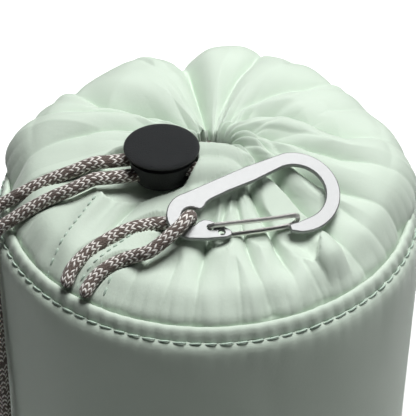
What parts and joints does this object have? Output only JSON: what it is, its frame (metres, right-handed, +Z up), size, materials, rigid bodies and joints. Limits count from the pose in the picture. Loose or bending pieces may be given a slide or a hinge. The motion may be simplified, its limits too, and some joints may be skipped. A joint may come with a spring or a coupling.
{
  "type": "shoe bag",
  "caption": "Upright cylindrical drawstring shoe bag with a gathered top, a push-button cord lock and a small wire-gate carabiner on a cord loop.",
  "frame": {"origin": "centre of the underside of the base", "axes": "+Z up, -Y towards the front, where the carabiner lies, and +X to the right, away from the drawstring's free ends"},
  "size_m": [0.1762, 0.16, 0.346],
  "materials": {
    "cloth": "thin mint-green woven nylon, soft sheen",
    "tape": "woven seam tape",
    "cord": "round braided cord, dark taupe with off-white flecks",
    "black_plastic": "finely textured moulded plastic",
    "aluminium": "bead-blasted, pale silver",
    "steel": "drawn stainless wire"
  },
  "bodies": {
    "bag": {"side_panel": "cloth", "base_panel": "cloth", "base_binding": "tape", "side_seam": "cloth", "rim_fold": "cloth", "cap_panel": "cloth", "cap_seam": "cloth", "casing": "cloth", "drawstring_ring": "cord", "drawstring_tail_back": "cord", "drawstring_tail_front": "cord", "end_knot": "cord", "loop_cord": "cord"},
    "lock": {"lock_barrel": "black_plastic", "lock_spring": "steel"},
    "button": {"lock_button": "black_plastic"},
    "carabiner": {"carabiner_frame": "aluminium"},
    "gate": {"gate_wire": "steel"}
  },
  "joints": [
    {"name": "lock_slide", "type": "slide", "parent": "bag", "child": "lock", "axis": [-0.9933, -0.0497, -0.1043], "range_m": [0, 0.012]},
    {"name": "button_press", "type": "slide", "parent": "lock", "child": "button", "axis": [0, 0, -1], "range_m": [0, 0.0021], "stiffness_N_per_m": 800, "springref_m": -0.002, "deforming": ["lock_spring"]},
    {"name": "carabiner_swing", "type": "hinge", "parent": "bag", "child": "carabiner", "pos_m": [-0.00929, -0.04721, 0.32983], "axis": [0.8358, -0.4573, -0.3038], "range_deg": [0, 100]},
    {"name": "gate_open", "type": "hinge", "parent": "carabiner", "child": "gate", "pos_m": [0.00072, -0.04566, 0.32932], "axis": [0.109, -0.4041, 0.9082], "range_deg": [0, 28], "stiffness_Nm_per_rad": 0.15, "springref_deg": -17.19}
  ]
}
